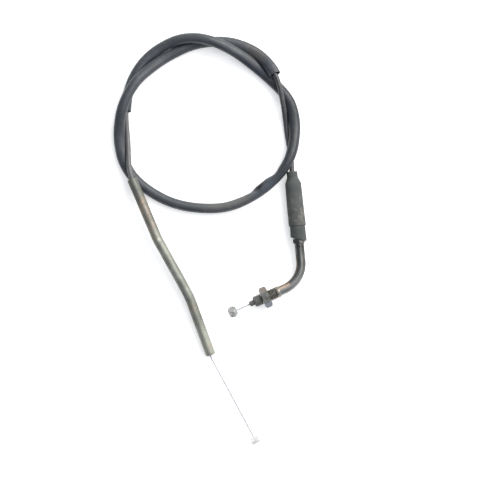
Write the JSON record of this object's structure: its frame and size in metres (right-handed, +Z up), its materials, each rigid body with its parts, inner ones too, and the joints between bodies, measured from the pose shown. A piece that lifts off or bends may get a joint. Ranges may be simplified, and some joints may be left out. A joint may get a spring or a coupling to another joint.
{
  "type": "motorcycle throttle cable",
  "caption": "Throttle cable in a loose coil: nipple-ended wire, threaded elbow with lock nut, booted adjuster, sleeved conduit, bent guide tube and bare carburettor wire.",
  "frame": {"origin": "on the table, below the middle of the box of the rigid fittings, with the coiled cable left out", "axes": "+Z up from the table, +Y from the carburettor nipple towards the coil, +X from the guide tube towards the boot"},
  "size_m": [0.1648, 0.3522, 0.0175],
  "materials": {
    "cast_zinc": "as-cast zinc alloy, satin, light grey",
    "wire": "bright galvanised stranded steel",
    "black_plastic": "matt black moulded plastic",
    "dark_plated": "polished black-nickel plating",
    "zinc_plated": "dull zinc plating",
    "nylon": "natural nylon",
    "boot_rubber": "matt charcoal rubber with brown dust",
    "conduit_vinyl": "semi-gloss black extruded vinyl",
    "sleeve_vinyl": "soft dark blue-charcoal vinyl tubing",
    "galvanised_tube": "olive-grey galvanised steel, mottled"
  },
  "bodies": {
    "root": {"conduit_jacket": "conduit_vinyl", "conduit_armour": "wire", "conduit_liner": "nylon", "inner_wire": "wire", "protective_sleeve": "sleeve_vinyl", "front_conduit_ferrule": "zinc_plated", "rear_conduit_ferrule": "zinc_plated", "adjuster_barrel": "zinc_plated", "adjuster_lock_nut": "zinc_plated", "adjuster_boot": "boot_rubber", "guide_tube": "galvanised_tube"},
    "adjuster": {"adjuster_screw": "dark_plated"},
    "elbow": {"elbow_tube": "dark_plated", "elbow_liner": "nylon", "threaded_end": "dark_plated", "end_cap": "black_plastic"},
    "nut": {"lock_nut": "zinc_plated"},
    "handlebar_end": {"handlebar_wire": "wire", "handlebar_nipple": "cast_zinc"},
    "carb_end": {"carb_wire": "wire", "carb_nipple": "cast_zinc"}
  },
  "joints": [
    {"name": "adjuster_travel", "type": "slide", "parent": "root", "child": "adjuster", "axis": [0.1011, -0.9949, 0], "range_m": [0, 0.006]},
    {"name": "elbow_swivel", "type": "hinge", "parent": "adjuster", "child": "elbow", "pos_m": [0.06966, 0.05741, 0.008], "axis": [-0.1011, 0.9949, 0], "continuous": true},
    {"name": "lock_nut_travel", "type": "slide", "parent": "elbow", "child": "nut", "axis": [0.915, 0.4035, 0], "range_m": [-0.005, 0.0065]},
    {"name": "handlebar_wire_pull", "type": "slide", "parent": "elbow", "child": "handlebar_end", "axis": [-0.915, -0.4035, 0], "range_m": [-0.01, 0.02]},
    {"name": "carb_wire_draw", "type": "slide", "parent": "root", "child": "carb_end", "axis": [-0.3439, 0.9374, 0.0555], "range_m": [-0.01, 0.02]}
  ],
  "couplings": [
    {"joint": "carb_wire_draw", "follows": "handlebar_wire_pull", "ratio": 1}
  ]
}
